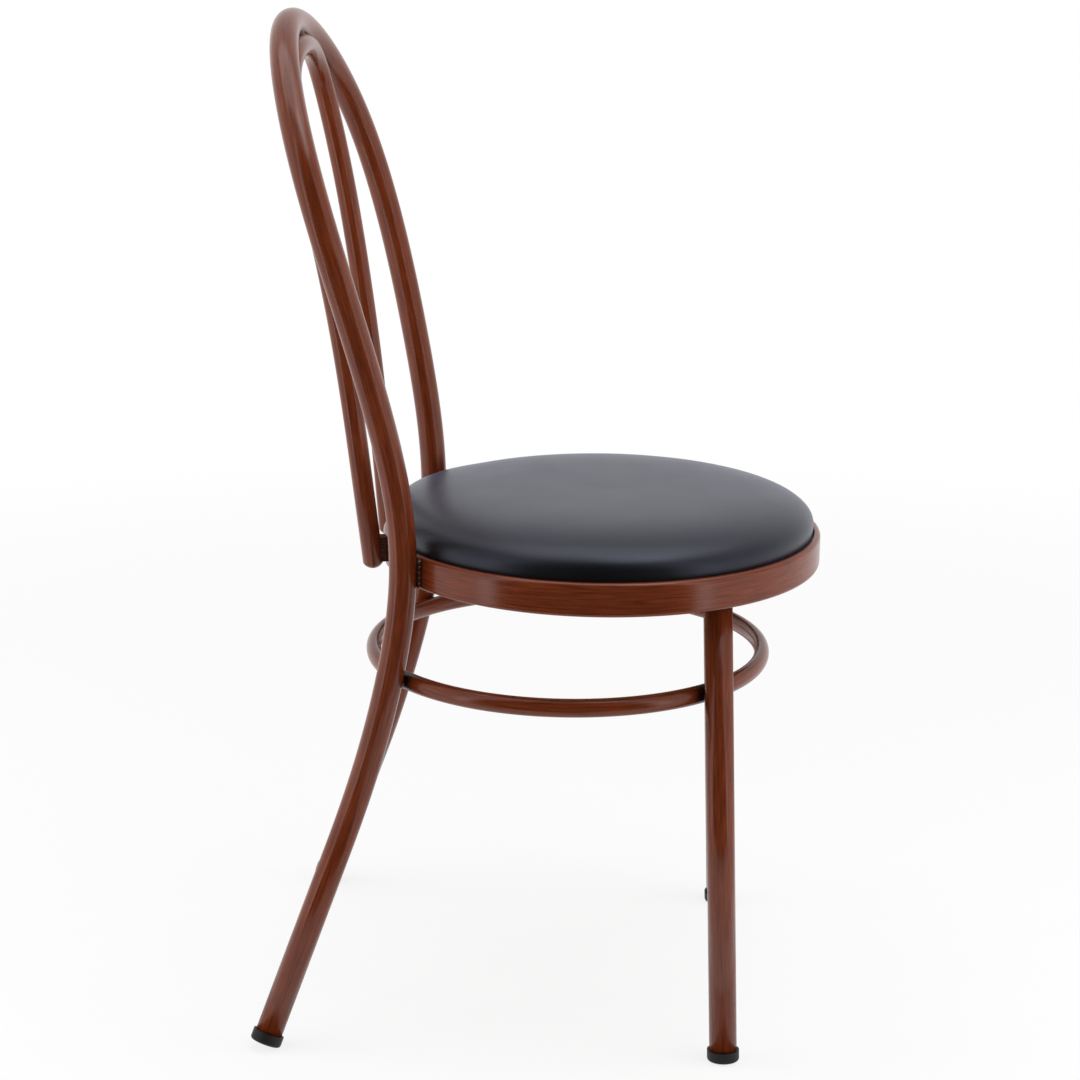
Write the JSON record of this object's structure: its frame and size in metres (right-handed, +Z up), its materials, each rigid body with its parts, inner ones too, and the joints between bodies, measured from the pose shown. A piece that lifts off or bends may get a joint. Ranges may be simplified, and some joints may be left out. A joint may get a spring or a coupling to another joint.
{
  "type": "cabaret chair",
  "caption": "Café side chair: bent tube hoop back with an inner hairpin, splayed tube legs, a stretcher ring and a round padded seat in a metal band.",
  "frame": {"origin": "on the floor, in the middle of the chair's outer box", "axes": "+Z up, -Y the way the sitter faces, +X to the sitter's left"},
  "size_m": [0.4198, 0.5108, 0.9229],
  "materials": {
    "frame_finish": "walnut-brown wood-grain print under satin gloss",
    "seat_vinyl": "smooth black vinyl, satin",
    "seat_foam": "open-cell foam",
    "seat_plywood": "bare plywood",
    "foot_rubber": "matte",
    "plain_steel": "zinc plated"
  },
  "bodies": {
    "root": {"back_hoop": "frame_finish", "hairpin": "frame_finish", "stretcher_ring": "frame_finish", "seat_band": "frame_finish", "front_seat_bar": "frame_finish", "rear_seat_bar": "frame_finish", "front_leg_left": "frame_finish", "front_leg_right": "frame_finish", "hairpin_plug_left": "frame_finish", "hairpin_plug_right": "frame_finish", "hairpin_spacer_left": "frame_finish", "hairpin_spacer_right": "frame_finish", "top_weld": "frame_finish", "front_ring_weld_left": "frame_finish", "front_ring_weld_right": "frame_finish", "rear_ring_weld_left": "frame_finish", "rear_ring_weld_right": "frame_finish", "upright_weld_left": "frame_finish", "upright_weld_right": "frame_finish", "front_foot_left": "foot_rubber", "front_foot_right": "foot_rubber", "rear_foot_left": "foot_rubber", "rear_foot_right": "foot_rubber", "seat_screws": "plain_steel", "seat_washers": "plain_steel", "cover_staples": "plain_steel", "seat_cover": "seat_vinyl", "seat_foam": "seat_foam", "seat_board": "seat_plywood"}
  },
  "joints": []
}
